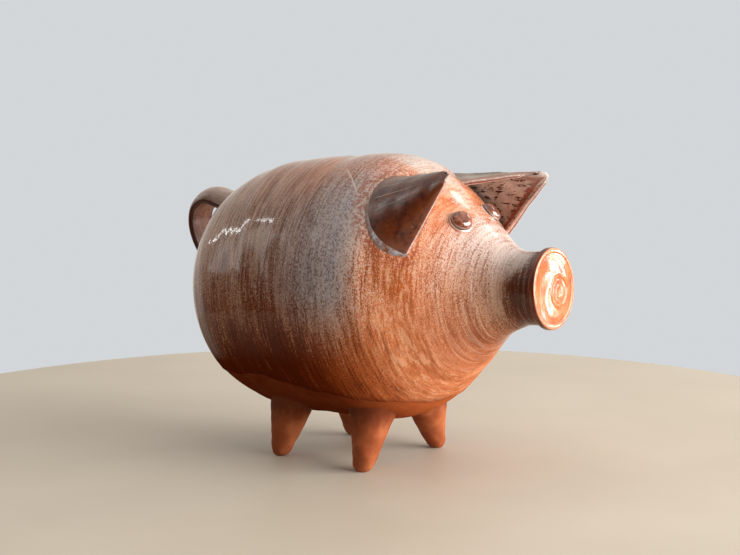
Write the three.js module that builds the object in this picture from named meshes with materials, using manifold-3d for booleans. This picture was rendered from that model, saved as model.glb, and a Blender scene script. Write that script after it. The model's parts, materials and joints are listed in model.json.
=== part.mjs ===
// A wheel-thrown stoneware piggy bank, in millimetres, +Z up.
// +X points to the snout, +Y to the pig's left, and the floor is at Z = 0.
// The barrel and the head are two thrown hollow sections luted together at a seam. The snout disc,
// ears, eyes, tail and legs are separate clay pieces pressed on, and a cork closes the belly hole.

import * as THREE from "three";
import { mergeVertices } from "three/addons/utils/BufferGeometryUtils.js";
import Module from "manifold-3d";

// Hollow body: a surface of revolution about the trunk axis, which points nose-up.
const BARREL_RADIUS = 95;
const AXIS_HEIGHT = 126.6;
const NOSE_UP = THREE.MathUtils.degToRad(3.36);
const REAR_LENGTH = 144.8;
const REAR_SQUARENESS = 3.7;
const FRONT_LENGTH = 116.7;
const FRONT_ROUNDNESS = 2.25;
const FRONT_TAPER = 2.13;
const NECK_RADIUS = 24.5;
const WALL = 6;
const SEAM_AT = 38;
const FIT_GAP = 0.3;

// Snout disc on the end of the neck.
const SNOUT_FACE_AT = 134.3;
const SNOUT_THICKNESS = 6.4;
const SNOUT_RADIUS = 27.7;
const SNOUT_BEVEL = 1.6;
const SNOUT_EDGE_ROUND = 1.4;
const SNOUT_EDGE_DROP = 0.3;
const SNOUT_DISH = 0.5;
const SNOUT_DISH_EDGE = 5.6;
const SNOUT_ROOT_LIP = 0.4;

// A pressed seal sits on the snout's face, towards the pig's left and a little low: two raised rings.
const SEAL_OFFSET = 5.6;
const SEAL_DROP = 2;
const SEAL_RING_RADII = [6, 10.6];
const SEAL_RING_HALF_WIDTH = 0.8;
const SEAL_RING_HEIGHT = 0.6;

// Coin slot in the back and stopper hole in the belly.
const SLOT_LENGTH = 42;
const SLOT_WIDTH = 5.6;
const SLOT_AT = -30;
const STOPPER_AT = -30;
const STOPPER_RADIUS = 13.5;
const STOPPER_TAPER = 1.2;
const STOPPER_LENGTH = 18;
const STOPPER_PROUD = 0.4;
const STOPPER_CHAMFER = 1;
const HOLE_OVERRUN = 4;

// Ears: slabs rolled into half-cones, rooted on half an ellipse drawn on the body.
const EAR_ROOT_AT = 51.5;
const EAR_ROOT_DEPTH = 24;
const EAR_ROOT_SLANT = 5.5;
const EAR_ROOT_ANGLE = THREE.MathUtils.degToRad(43);
const EAR_ROOT_SPREAD = THREE.MathUtils.degToRad(24);
const EAR_TIPS = {
  right: new THREE.Vector3(95.7, -63, 80.5),
  left: new THREE.Vector3(95.7, 63, 75.5),
};
const EAR_TIP_HALF_WIDTH = 2.4;
const EAR_TIP_BEND = 0.8;
const EAR_THICKNESS = 5.2;
const EAR_TIP_THICKNESS = 3;
const EAR_BURIED = 0.14;
const EAR_COIL_RADIUS = 2.6;
const EAR_COIL_SWEEP = THREE.MathUtils.degToRad(170);

// Eyes: round pellets pressed flat against the head.
const EYE_PLACES = {
  right: { at: 75, angle: THREE.MathUtils.degToRad(23.5) },
  left: { at: 71, angle: THREE.MathUtils.degToRad(24.5) },
};
const EYE_RADIUS = 7.8;
const EYE_HEIGHT = 6;
const EYE_RIM_RADIUS = 9;
const EYE_RIM_HEIGHT = 1.2;
const EYE_RIM_CHAMFER = 0.6;

// Tail: a pulled strap, domed outside and flat inside, looped over and pressed back on the body.
const TAIL_WIDTH = 25;
const TAIL_END_WIDTH = 16;
const TAIL_EDGE = 4.5;
const TAIL_DOME = 10.6;
const TAIL_END_DOME = 1.6;
const TAIL_THINS_FROM = 0.25;
const TAIL_THINS_TO = 0.48;
// Places along the trunk and above its axis that the strap's middle passes through, root first.
const TAIL_ROUTE = [
  [-128, 49],
  [-141, 56],
  [-156, 61],
  [-171, 65],
  [-182.5, 60],
  [-186.5, 49],
  [-183.5, 35],
  [-174, 20],
  [-160, 8],
  [-144, 1],
  [-134, -2],
];

// Legs: finger-rolled cones that splay outward.
const LEGS = [
  { name: "front_right_leg", foot: [8, -46.3], top: [8.5, -35] },
  { name: "front_left_leg", foot: [8, 46.3], top: [6, 31.5] },
  { name: "rear_right_leg", foot: [-70, -43.2], top: [-63.5, -34.5] },
  { name: "rear_left_leg", foot: [-68.5, 43.6], top: [-64, 34] },
];
const LEG_TOP_HEIGHT = 44;
// Height above the floor and radius, from the worn pad at the tip up into the belly.
const LEG_LEVELS = [
  [0, 4.5],
  [0.6, 6.3],
  [2.2, 7.5],
  [5, 8.6],
  [12, 10.4],
  [22, 12.6],
  [33, 15.2],
  [44, 16.8],
  [56, 17.8],
];

// Facets.
const ROUND_STEPS = 44;
const REAR_STEPS = 13;
const FRONT_STEPS = 14;
const INNER_REAR_STEPS = 7;
const INNER_FRONT_STEPS = 8;
const EAR_TURNS = 12;
const EAR_LEVELS = 6;
const COIL_STEPS = 12;
const EYE_SIDES = 18;
const EYE_DOME_STEPS = 5;
const TAIL_LEVELS = 22;
const TAIL_DOME_STEPS = 6;
const LEG_SIDES = 18;

const GLAZE_BARREL = new THREE.MeshStandardMaterial({ color: 0xa56a4c, roughness: 0.22, metalness: 0 });
const GLAZE_HEAD = new THREE.MeshStandardMaterial({ color: 0xb9714a, roughness: 0.2, metalness: 0 });
const GLAZE_SNOUT = new THREE.MeshStandardMaterial({ color: 0xc86a35, roughness: 0.2, metalness: 0 });
const GLAZE_EAR = new THREE.MeshStandardMaterial({ color: 0x5e3426, roughness: 0.2, metalness: 0 });
const GLAZE_PALE = new THREE.MeshStandardMaterial({ color: 0xb9b4bb, roughness: 0.25, metalness: 0 });
const GLAZE_DARK = new THREE.MeshStandardMaterial({ color: 0x3f231a, roughness: 0.18, metalness: 0 });
const GLAZE_TAIL = new THREE.MeshStandardMaterial({ color: 0x8c7b7a, roughness: 0.22, metalness: 0 });
const BARE_CLAY = new THREE.MeshStandardMaterial({ color: 0xb0603d, roughness: 0.85, metalness: 0 });
const CORK = new THREE.MeshStandardMaterial({ color: 0xb48a5c, roughness: 0.9, metalness: 0 });

const wasm = await Module();
wasm.setup();

// Mesh and solid conversions. Points closer than MERGE_WITHIN are one point.

const MERGE_WITHIN = 1e-4;

function toSolid(geometry) {
  const bare = geometry.clone();
  bare.deleteAttribute("normal");
  bare.deleteAttribute("uv");
  const merged = mergeVertices(bare, MERGE_WITHIN);
  const vertProperties = new Float32Array(merged.attributes.position.array);
  const triVerts = new Uint32Array(merged.index.array);
  return new wasm.Manifold(new wasm.Mesh({ numProp: 3, vertProperties, triVerts }));
}

function toGeometry(solid) {
  const mesh = solid.getMesh();
  const geometry = new THREE.BufferGeometry();
  geometry.setAttribute("position", new THREE.BufferAttribute(new Float32Array(mesh.vertProperties), 3));
  geometry.setIndex(new THREE.BufferAttribute(new Uint32Array(mesh.triVerts), 1));
  geometry.computeVertexNormals();
  return geometry;
}

function part(name, geometry, material) {
  const mesh = new THREE.Mesh(geometry, material);
  mesh.name = name;
  return mesh;
}

// A closed skin over a stack of rings with equal point counts. Each end is closed by pairing the
// first half of its ring with the second half, which also suits a C-shaped ring.
function loft(rings) {
  const count = rings[0].length;
  const positions = rings.flat().flatMap((point) => [point.x, point.y, point.z]);
  const index = [];
  for (let ring = 0; ring + 1 < rings.length; ring += 1) {
    for (let i = 0; i < count; i += 1) {
      const a = ring * count + i;
      const b = ring * count + ((i + 1) % count);
      index.push(a, b, b + count, a, b + count, a + count);
    }
  }
  const last = (rings.length - 1) * count;
  for (let i = 0; i + 1 < count / 2; i += 1) {
    const j = count - 1 - i;
    index.push(i, j, j - 1, i, j - 1, i + 1);
    index.push(last + i, last + j - 1, last + j, last + i, last + i + 1, last + j - 1);
  }
  const geometry = new THREE.BufferGeometry();
  geometry.setAttribute("position", new THREE.Float32BufferAttribute(positions, 3));
  geometry.setIndex(index);
  return geometry;
}

// Trunk coordinates: x runs along the trunk axis from its widest point, z is up, square to it.

function bodyRadius(at) {
  if (at <= 0) {
    const reach = Math.pow(Math.min(-at / REAR_LENGTH, 1), REAR_SQUARENESS);
    return BARREL_RADIUS * Math.pow(1 - reach, 1 / REAR_SQUARENESS);
  }
  const reach = Math.pow(Math.min(at / FRONT_LENGTH, 1), FRONT_ROUNDNESS);
  return NECK_RADIUS + (BARREL_RADIUS - NECK_RADIUS) * Math.pow(1 - reach, FRONT_TAPER);
}

function bodyNormal(at) {
  const step = 0.05;
  const slope = (bodyRadius(at + step) - bodyRadius(at - step)) / (2 * step);
  return new THREE.Vector2(1, -slope).normalize();
}

// Points (radius, place on the axis) of the body's outline, moved outward by grow.
function outline(grow, rearSteps, frontSteps) {
  const points = [new THREE.Vector2(0, -REAR_LENGTH - grow)];
  for (let step = 1; step <= rearSteps; step += 1) {
    const turn = (step / rearSteps) * (Math.PI / 2);
    const across = Math.pow(Math.sin(turn), 2 / REAR_SQUARENESS);
    const along = Math.pow(Math.cos(turn), 2 / REAR_SQUARENESS);
    points.push(new THREE.Vector2((BARREL_RADIUS + grow) * across, -(REAR_LENGTH + grow) * along));
  }
  for (let step = 1; step <= frontSteps; step += 1) {
    const at = (step / frontSteps) * FRONT_LENGTH;
    const normal = bodyNormal(at);
    points.push(new THREE.Vector2(bodyRadius(at) + grow * normal.x, at + grow * normal.y));
  }
  return points;
}

function latheAlongX(points) {
  return new THREE.LatheGeometry(points, ROUND_STEPS).rotateZ(-Math.PI / 2);
}

function bodyForm(grow) {
  const points = outline(grow, REAR_STEPS, FRONT_STEPS);
  points.push(new THREE.Vector2(NECK_RADIUS + grow, SNOUT_FACE_AT));
  points.push(new THREE.Vector2(0, SNOUT_FACE_AT));
  return latheAlongX(points);
}

function onBody(at, angle, side) {
  const radius = bodyRadius(at);
  return new THREE.Vector3(at, side * radius * Math.sin(angle), radius * Math.cos(angle));
}

// Barrel and head.

function hollowBody() {
  const neckEnd = SNOUT_FACE_AT - SNOUT_THICKNESS - FIT_GAP / 2;
  const outside = outline(0, REAR_STEPS, FRONT_STEPS);
  const inside = outline(-WALL, INNER_REAR_STEPS, INNER_FRONT_STEPS).reverse();
  outside.push(new THREE.Vector2(NECK_RADIUS, neckEnd));
  inside.unshift(new THREE.Vector2(NECK_RADIUS - WALL, neckEnd));
  return toSolid(latheAlongX([...outside, ...inside]));
}

function slabAt(from, to) {
  const size = 4 * BARREL_RADIUS;
  const slab = new THREE.BoxGeometry(to - from, size, size);
  return toSolid(slab.translate((from + to) / 2, 0, 0));
}

function slotCutter() {
  const half = SLOT_LENGTH / 2 - SLOT_WIDTH / 2;
  const shape = new THREE.Shape();
  shape.absarc(half, 0, SLOT_WIDTH / 2, -Math.PI / 2, Math.PI / 2);
  shape.absarc(-half, 0, SLOT_WIDTH / 2, Math.PI / 2, 1.5 * Math.PI);
  const depth = 4 * WALL;
  const cutter = new THREE.ExtrudeGeometry(shape, { depth, bevelEnabled: false, curveSegments: 6 });
  return toSolid(cutter.translate(SLOT_AT, 0, BARREL_RADIUS - depth / 2));
}

// The cork's outline, or with grow its hole's: wider by grow, square at the ends, and overrun longer.
function plugOutline(grow, chamfer, overrun) {
  const outer = STOPPER_RADIUS + grow;
  const inner = STOPPER_RADIUS - STOPPER_TAPER + grow;
  const low = -(BARREL_RADIUS + STOPPER_PROUD + overrun);
  const high = low + STOPPER_LENGTH + 2 * overrun;
  return [
    new THREE.Vector2(0, low),
    new THREE.Vector2(outer - chamfer, low),
    new THREE.Vector2(outer, low + STOPPER_CHAMFER),
    new THREE.Vector2(inner, high - STOPPER_CHAMFER),
    new THREE.Vector2(inner - chamfer, high),
    new THREE.Vector2(0, high),
  ];
}

function plug(points) {
  const turned = new THREE.LatheGeometry(points, ROUND_STEPS / 2);
  return toSolid(turned.rotateX(Math.PI / 2).translate(STOPPER_AT, 0, 0));
}

function barrelShell(body) {
  const rear = body.subtract(slabAt(SEAM_AT - FIT_GAP / 2, 2 * REAR_LENGTH));
  return rear.subtract(slotCutter()).subtract(plug(plugOutline(FIT_GAP, 0, HOLE_OVERRUN)));
}

function headShell(body) {
  return body.subtract(slabAt(-2 * REAR_LENGTH, SEAM_AT + FIT_GAP / 2));
}

function snoutDisc() {
  const back = SNOUT_FACE_AT - SNOUT_THICKNESS + FIT_GAP / 2;
  const dish = SNOUT_FACE_AT - SNOUT_DISH;
  const blank = latheAlongX([
    new THREE.Vector2(0, back),
    new THREE.Vector2(NECK_RADIUS + SNOUT_ROOT_LIP, back),
    new THREE.Vector2(SNOUT_RADIUS - SNOUT_ROOT_LIP, back + SNOUT_BEVEL),
    new THREE.Vector2(SNOUT_RADIUS, back + 2 * SNOUT_BEVEL),
    new THREE.Vector2(SNOUT_RADIUS, SNOUT_FACE_AT - SNOUT_EDGE_ROUND),
    new THREE.Vector2(SNOUT_RADIUS - SNOUT_EDGE_ROUND / 2, SNOUT_FACE_AT - SNOUT_EDGE_DROP),
    new THREE.Vector2(SNOUT_RADIUS - 1.5 * SNOUT_EDGE_ROUND, SNOUT_FACE_AT),
    new THREE.Vector2(SNOUT_RADIUS - SNOUT_DISH_EDGE, dish),
    new THREE.Vector2(0, dish),
  ]);
  let disc = toSolid(blank);
  for (const radius of SEAL_RING_RADII) {
    disc = disc.add(toSolid(sealRing(radius, dish)));
  }
  return disc;
}

// A raised ring, three-cornered in section, standing on the dish and sunk into it.
function sealRing(radius, dish) {
  const section = [
    new THREE.Vector2(radius + SEAL_RING_HALF_WIDTH, dish - SEAL_RING_HEIGHT),
    new THREE.Vector2(radius, dish + SEAL_RING_HEIGHT),
    new THREE.Vector2(radius - SEAL_RING_HALF_WIDTH, dish - SEAL_RING_HEIGHT),
    new THREE.Vector2(radius + SEAL_RING_HALF_WIDTH, dish - SEAL_RING_HEIGHT),
  ];
  return latheAlongX(section).translate(0, SEAL_OFFSET, -SEAL_DROP);
}

// Ears. turn runs from -90 degrees at the upper end of the root to +90 at the lower end, and reach
// runs from 0 at the root to 1 at the tip.

function earRoot(turn, side) {
  const at = EAR_ROOT_AT - EAR_ROOT_DEPTH * Math.cos(turn) + EAR_ROOT_SLANT * Math.sin(turn);
  return onBody(at, EAR_ROOT_ANGLE + EAR_ROOT_SPREAD * Math.sin(turn), side);
}

// across runs from the upper to the lower end of the root, and ridge points out of the ear's back.
function earAxes(side) {
  const tip = side < 0 ? EAR_TIPS.right : EAR_TIPS.left;
  const upper = earRoot(-Math.PI / 2, side);
  const lower = earRoot(Math.PI / 2, side);
  const across = lower.clone().sub(upper).normalize();
  const along = tip.clone().sub(upper.add(lower).multiplyScalar(0.5)).normalize();
  const ridge = across.clone().cross(along).multiplyScalar(side).normalize();
  return { tip, across, ridge };
}

// The tip is a short, slightly bent edge square to the ear's length.
function earTip(turn, side) {
  const { tip, across, ridge } = earAxes(side);
  return tip
    .clone()
    .addScaledVector(across, EAR_TIP_HALF_WIDTH * Math.sin(turn))
    .addScaledVector(ridge, EAR_TIP_BEND * Math.cos(turn));
}

function earPoint(turn, reach, side) {
  return earRoot(turn, side).lerp(earTip(turn, side), reach);
}

// The direction through the slab, square to its back, turning to straight down at the tip.
function earInward(turn, reach, side) {
  const step = 0.02;
  const along = earTip(turn, side).sub(earRoot(turn, side));
  const across = earPoint(turn + step, reach, side).sub(earPoint(turn - step, reach, side));
  const inward = along.cross(across).multiplyScalar(-side).normalize();
  const tipDown = earAxes(side).ridge.negate();
  return inward.lerp(tipDown, THREE.MathUtils.smoothstep(reach, 0.5, 1)).normalize();
}

// The slab's thickness grows by grow on each face.
function earGeometry(side, grow) {
  const rings = [];
  for (let level = 0; level <= EAR_LEVELS; level += 1) {
    const reach = -EAR_BURIED + (level / EAR_LEVELS) * (1 + EAR_BURIED);
    const thickness = THREE.MathUtils.lerp(EAR_THICKNESS, EAR_TIP_THICKNESS, Math.max(reach, 0));
    const outer = [];
    const inner = [];
    for (let step = 0; step <= EAR_TURNS; step += 1) {
      const turn = (step / EAR_TURNS - 0.5) * Math.PI;
      const point = earPoint(turn, reach, side);
      const inward = earInward(turn, reach, side);
      outer.push(point.clone().addScaledVector(inward, -grow));
      inner.push(point.clone().addScaledVector(inward, thickness + grow));
    }
    const ring = [...outer, ...inner.reverse()];
    rings.push(side < 0 ? ring : ring.reverse());
  }
  return loft(rings);
}

// A coil of clay laid round the back of the ear's root.
function earCoilGeometry(side) {
  const points = [];
  for (let step = 0; step <= COIL_STEPS; step += 1) {
    points.push(earRoot((step / COIL_STEPS - 0.5) * EAR_COIL_SWEEP, side));
  }
  const extrudePath = new THREE.CatmullRomCurve3(points);
  const round = new THREE.Shape().absarc(0, 0, EAR_COIL_RADIUS, 0, 2 * Math.PI);
  return new THREE.ExtrudeGeometry(round, { extrudePath, steps: COIL_STEPS, curveSegments: 4 });
}

// Eyes.

function eyeGeometry(side) {
  const points = [
    new THREE.Vector2(0, -EYE_HEIGHT),
    new THREE.Vector2(EYE_RIM_RADIUS, -EYE_HEIGHT),
    new THREE.Vector2(EYE_RIM_RADIUS, EYE_RIM_HEIGHT / 2),
    new THREE.Vector2(EYE_RIM_RADIUS - EYE_RIM_CHAMFER, EYE_RIM_HEIGHT),
  ];
  for (let step = 0; step < EYE_DOME_STEPS; step += 1) {
    const turn = (step / EYE_DOME_STEPS) * (Math.PI / 2);
    const rise = EYE_RIM_HEIGHT + (EYE_HEIGHT - EYE_RIM_HEIGHT) * Math.sin(turn);
    points.push(new THREE.Vector2(EYE_RADIUS * Math.cos(turn), rise));
  }
  points.push(new THREE.Vector2(0, EYE_HEIGHT));
  const { at, angle } = side < 0 ? EYE_PLACES.right : EYE_PLACES.left;
  const normal = bodyNormal(at);
  const outward = new THREE.Vector3(
    normal.y,
    side * normal.x * Math.sin(angle),
    normal.x * Math.cos(angle),
  );
  const stand = new THREE.Quaternion().setFromUnitVectors(new THREE.Vector3(0, 1, 0), outward);
  const place = onBody(at, angle, side);
  const pellet = new THREE.LatheGeometry(points, EYE_SIDES);
  return pellet.applyQuaternion(stand).translate(...place.toArray());
}

// Tail.

function tailPath() {
  return new THREE.CatmullRomCurve3(TAIL_ROUTE.map(([x, z]) => new THREE.Vector3(x, 0, z)));
}

// The dome is tall over the root and nearly gone where the strap turns down.
function tailRing(path, reach) {
  const centre = path.getPointAt(reach);
  const tangent = path.getTangentAt(reach);
  const outward = new THREE.Vector3(tangent.z, 0, -tangent.x);
  const width = THREE.MathUtils.lerp(TAIL_WIDTH, TAIL_END_WIDTH, Math.pow(reach, 3));
  const thinning = THREE.MathUtils.smoothstep(reach, TAIL_THINS_FROM, TAIL_THINS_TO);
  const dome = THREE.MathUtils.lerp(TAIL_DOME, TAIL_END_DOME, thinning);
  const ring = [];
  for (let step = 0; step <= TAIL_DOME_STEPS; step += 1) {
    const turn = (step / TAIL_DOME_STEPS) * Math.PI;
    const rise = TAIL_EDGE / 2 + dome * Math.sin(turn);
    const across = (-width / 2) * Math.cos(turn);
    ring.push(centre.clone().addScaledVector(outward, rise).setY(across));
  }
  for (let step = TAIL_DOME_STEPS; step >= 0; step -= 1) {
    const across = (-width / 2) * Math.cos((step / TAIL_DOME_STEPS) * Math.PI);
    ring.push(centre.clone().addScaledVector(outward, -TAIL_EDGE / 2).setY(across));
  }
  return ring;
}

function tailGeometry() {
  const path = tailPath();
  const rings = [];
  for (let level = 0; level <= TAIL_LEVELS; level += 1) {
    rings.push(tailRing(path, level / TAIL_LEVELS));
  }
  return loft(rings);
}

// Legs, in floor coordinates: z is height above the floor.

function legGeometry({ foot, top }) {
  return loft(LEG_LEVELS.map(([height, radius]) => {
    const lean = height / LEG_TOP_HEIGHT;
    const x = THREE.MathUtils.lerp(foot[0], top[0], lean);
    const y = THREE.MathUtils.lerp(foot[1], top[1], lean);
    return Array.from({ length: LEG_SIDES }, (_, i) => {
      const turn = ((i + 0.5) / LEG_SIDES) * 2 * Math.PI;
      return new THREE.Vector3(x + radius * Math.cos(turn), y + radius * Math.sin(turn), height);
    });
  }));
}

// Assembly.

const piggyBank = new THREE.Group();
const pig = new THREE.Group();
const trunk = new THREE.Group();
trunk.position.z = AXIS_HEIGHT;
trunk.rotation.y = -NOSE_UP;
trunk.updateMatrix();
piggyBank.add(pig);
pig.add(trunk);

const body = hollowBody();
const bodyClearance = toSolid(bodyForm(FIT_GAP));

trunk.add(part("barrel_shell", toGeometry(barrelShell(body)), GLAZE_BARREL));
trunk.add(part("head_shell", toGeometry(headShell(body)), GLAZE_HEAD));
trunk.add(part("snout_disc", toGeometry(snoutDisc()), GLAZE_SNOUT));

for (const [hand, side] of [["right", -1], ["left", 1]]) {
  const ear = toSolid(earGeometry(side, 0)).subtract(bodyClearance);
  const earClearance = toSolid(earGeometry(side, FIT_GAP));
  const coil = toSolid(earCoilGeometry(side)).subtract(bodyClearance).subtract(earClearance);
  const eye = toSolid(eyeGeometry(side)).subtract(bodyClearance);
  trunk.add(part(`${hand}_ear`, toGeometry(ear), GLAZE_EAR));
  trunk.add(part(`${hand}_ear_coil`, toGeometry(coil), GLAZE_PALE));
  trunk.add(part(`${hand}_eye`, toGeometry(eye), GLAZE_DARK));
}

trunk.add(part("tail", toGeometry(toSolid(tailGeometry()).subtract(bodyClearance)), GLAZE_TAIL));
trunk.add(part("belly_stopper", toGeometry(plug(plugOutline(0, STOPPER_CHAMFER, 0))), CORK));

const standingClearance = toSolid(bodyForm(FIT_GAP).applyMatrix4(trunk.matrix));
for (const leg of LEGS) {
  const cone = toSolid(legGeometry(leg)).subtract(standingClearance);
  pig.add(part(leg.name, toGeometry(cone), BARE_CLAY));
}

// The origin is on the floor, under the middle of the whole pig.
pig.position.x = -new THREE.Box3().setFromObject(pig).getCenter(new THREE.Vector3()).x;

export default piggyBank;
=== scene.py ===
import json
import math
from functools import cached_property

import bmesh
import bpy
import numpy as np
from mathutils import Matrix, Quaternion, Vector


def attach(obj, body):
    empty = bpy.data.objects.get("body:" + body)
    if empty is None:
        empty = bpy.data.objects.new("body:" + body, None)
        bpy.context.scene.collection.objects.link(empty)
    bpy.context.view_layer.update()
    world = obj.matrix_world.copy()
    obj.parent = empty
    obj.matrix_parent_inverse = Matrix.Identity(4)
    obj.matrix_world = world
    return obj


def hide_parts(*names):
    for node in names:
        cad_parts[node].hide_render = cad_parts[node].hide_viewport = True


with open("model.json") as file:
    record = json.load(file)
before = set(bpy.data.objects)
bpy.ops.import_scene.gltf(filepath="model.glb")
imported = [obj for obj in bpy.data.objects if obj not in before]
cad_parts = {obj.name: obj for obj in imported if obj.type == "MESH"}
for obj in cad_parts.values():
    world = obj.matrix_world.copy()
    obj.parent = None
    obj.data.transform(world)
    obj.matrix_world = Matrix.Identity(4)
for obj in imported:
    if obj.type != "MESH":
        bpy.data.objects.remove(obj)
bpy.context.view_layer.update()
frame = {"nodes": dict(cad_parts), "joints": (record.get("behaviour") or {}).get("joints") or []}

# ---- the frame, and what follows from it
# Shapes are worked out in millimetres in trunk coordinates: x along the trunk's axis towards the snout
# from its widest point, y to the pig's left, z up and square to the axis. place() turns them into the
# row frame, in metres.

MM = 0.001
PULL = frame["joints"][0]["axis"]
ALONG = np.array([-PULL[2], 0.0, PULL[0]])
UPWARD = np.array([-PULL[0], 0.0, -PULL[2]])
TILT = math.atan2(PULL[0], -PULL[2])


def cad_points(node):
    return np.array([v.co[:] for v in frame["nodes"][node].data.vertices])


_barrel = cad_points("barrel_shell")
CENTRE = _barrel[_barrel[:, 1] > _barrel[:, 1].max() - 0.01 * MM].mean(0) * [1, 0, 1]


def to_trunk(points):
    away = (points - CENTRE) / MM
    return np.stack([away @ ALONG, away[..., 1], away @ UPWARD], -1)


def place(points):
    x, y, z = np.moveaxis(np.asarray(points, float), -1, 0)
    row = x[..., None] * ALONG + y[..., None] * np.array([0, 1, 0]) + z[..., None] * UPWARD
    return CENTRE + row * MM


def trunk_span(node):
    points = to_trunk(cad_points(node))
    return points.min(0), points.max(0)


# Half the gap that the CAD leaves where two clay pieces meet.
HALF_GAP = 0.15
RADIUS = trunk_span("barrel_shell")[1][1]
REAR = -trunk_span("barrel_shell")[0][0]
SEAM = trunk_span("barrel_shell")[1][0] + HALF_GAP
NECK_END = trunk_span("head_shell")[1][0]
FACE = trunk_span("snout_disc")[1][0]
SNOUT_RADIUS = trunk_span("snout_disc")[1][1]

# The CAD's own driving dimensions.
REAR_SQUARENESS = 3.7
FRONT = 116.7
FRONT_ROUNDNESS = 2.25
FRONT_TAPER = 2.13
NECK = 24.5
WALL = 6.0
SLOT_AT = -30.0
SLOT_HALF = 18.2
SLOT_WIDE = 2.8
STOPPER_AT = -30.0
STOPPER_HOLE = 13.8


def smooth(value, low, high):
    t = np.clip((value - low) / (high - low), 0, 1)
    return t * t * (3 - 2 * t)


def unit(vectors):
    return vectors / np.linalg.norm(vectors, axis=-1, keepdims=True)


def body_radius(x):
    x = np.asarray(x, float)
    rear = RADIUS * (1 - np.clip(-x / REAR, 0, 1) ** REAR_SQUARENESS) ** (1 / REAR_SQUARENESS)
    reach = np.clip(x / FRONT, 0, 1) ** FRONT_ROUNDNESS
    front = NECK + (RADIUS - NECK) * (1 - reach) ** FRONT_TAPER
    return np.where(x <= 0, rear, front)


def body_normal(x):
    """(along, outward) parts of the outward normal of the body at x."""
    step = 0.02
    x = np.clip(np.asarray(x, float), -REAR + 0.03, None)
    slope = (body_radius(x + step) - body_radius(x - step)) / (2 * step)
    size = np.sqrt(1 + slope**2)
    return -slope / size, 1 / size


def on_body(x, angle, lift=0.0):
    """A point at x and angle (0 on top, positive to the pig's left), lifted off the body's surface."""
    along, out = body_normal(x)
    radius = body_radius(x) + lift * out
    x, radius, angle = np.broadcast_arrays(x + lift * along, radius, angle)
    return np.stack([x, radius * np.sin(angle), radius * np.cos(angle)], -1)


def around(count):
    return np.arange(count) * (2 * np.pi / count)


# ---- mesh building


def add_object(name, data):
    made = bpy.data.objects.new(name, data)
    bpy.context.scene.collection.objects.link(made)
    return made


class Skin:
    """Points in trunk millimetres and the faces over them."""

    def __init__(self):
        self.points = []
        self.faces = []

    def add(self, points):
        points = np.asarray(points, float).reshape(-1, 3)
        first = len(self.points)
        self.points.extend(points)
        return np.arange(first, first + len(points))

    def strip(self, low, high):
        """Quads between two closed rings of equal length."""
        self.faces += np.stack([low, np.roll(low, -1), np.roll(high, -1), high], -1).tolist()

    def rows(self, rings):
        """Adds rings of equal length and the quads between them. Returns the rings' indices."""
        index = [self.add(ring) for ring in rings]
        for low, high in zip(index, index[1:]):
            self.strip(low, high)
        return index

    def cap(self, ring, point):
        """A fan from a ring to a point."""
        tip = self.add([point])[0]
        self.faces += [[low, high, tip] for low, high in zip(ring, np.roll(ring, -1))]

    def tube(self, rings, first=None, last=None):
        """Rings with both ends closed, to the points given or to their own middles. The last ring's
        point is added before the first ring's."""
        index = self.rows(rings)
        self.cap(index[-1], rings[-1].mean(0) if last is None else last)
        self.cap(index[0], rings[0].mean(0) if first is None else first)

    def zip(self, low, high, low_turn, high_turn):
        """Triangles between two closed loops, paired by how far round each point is."""
        low_turn = np.unwrap(np.append(low_turn, low_turn[0]))
        high_turn = np.unwrap(np.append(high_turn, high_turn[0]))
        start = int(np.argmin(np.abs(np.angle(np.exp(1j * (high_turn[:-1] - low_turn[0]))))))
        high = np.roll(high, -start)
        high_turn = np.unwrap(np.append(np.roll(high_turn[:-1], -start), high_turn[start]))
        high_turn += 2 * np.pi * round((low_turn[0] - high_turn[0]) / (2 * np.pi))
        low = np.append(low, low[0])
        high = np.append(high, high[0])
        i = j = 0
        while i < len(low) - 1 or j < len(high) - 1:
            low_next = j == len(high) - 1
            if not low_next and i < len(low) - 1:
                low_next = abs(low_turn[i + 1] - high_turn[j]) <= abs(high_turn[j + 1] - low_turn[i])
            if low_next:
                self.faces.append([low[i], low[i + 1], high[j]])
                i += 1
            else:
                self.faces.append([low[i], high[j + 1], high[j]])
                j += 1

    def build(self, name, slot, material, body="bank", attributes=None, sharp=None):
        """Makes the piece that stands for the CAD node of the same name."""
        mesh = bpy.data.meshes.new(name)
        mesh.from_pydata(place(self.points).tolist(), [], [list(map(int, face)) for face in self.faces])
        mesh.validate()
        for key, values in (attributes or {}).items():
            layer = mesh.attributes.new(key, "FLOAT", "POINT")
            layer.data.foreach_set("value", np.asarray(values, np.float32))
        face_outward(mesh)
        mesh.shade_smooth()
        if sharp is not None:
            mesh.set_sharp_from_angle(angle=math.radians(sharp))
        mesh.materials.append(material)
        piece = add_object(name, mesh)
        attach(piece, body)
        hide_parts(name)


def face_outward(mesh):
    work = bmesh.new()
    work.from_mesh(mesh)
    bmesh.ops.recalc_face_normals(work, faces=work.faces)
    work.to_mesh(mesh)
    work.free()


def curve_points(knots, count):
    """count points along a smooth curve through the knots (Catmull-Rom, evenly spaced)."""
    knots = np.asarray(knots, float)
    ends = np.vstack([2 * knots[0] - knots[1], knots, 2 * knots[-1] - knots[-2]])
    t = np.linspace(0, 1, 24, endpoint=False)[:, None]
    dense = []
    for a, b, c, d in zip(ends, ends[1:], ends[2:], ends[3:]):
        square, cube = 2 * a - 5 * b + 4 * c - d, 3 * b - a - 3 * c + d
        dense.append(0.5 * (2 * b + (c - a) * t + square * t**2 + cube * t**3))
    dense = np.vstack([*dense, knots[-1:]])
    length = np.append(0, np.cumsum(np.linalg.norm(np.diff(dense, axis=0), axis=1)))
    want = np.linspace(0, length[-1], count)
    return np.stack([np.interp(want, length, dense[:, k]) for k in range(knots.shape[1])], -1)


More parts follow.
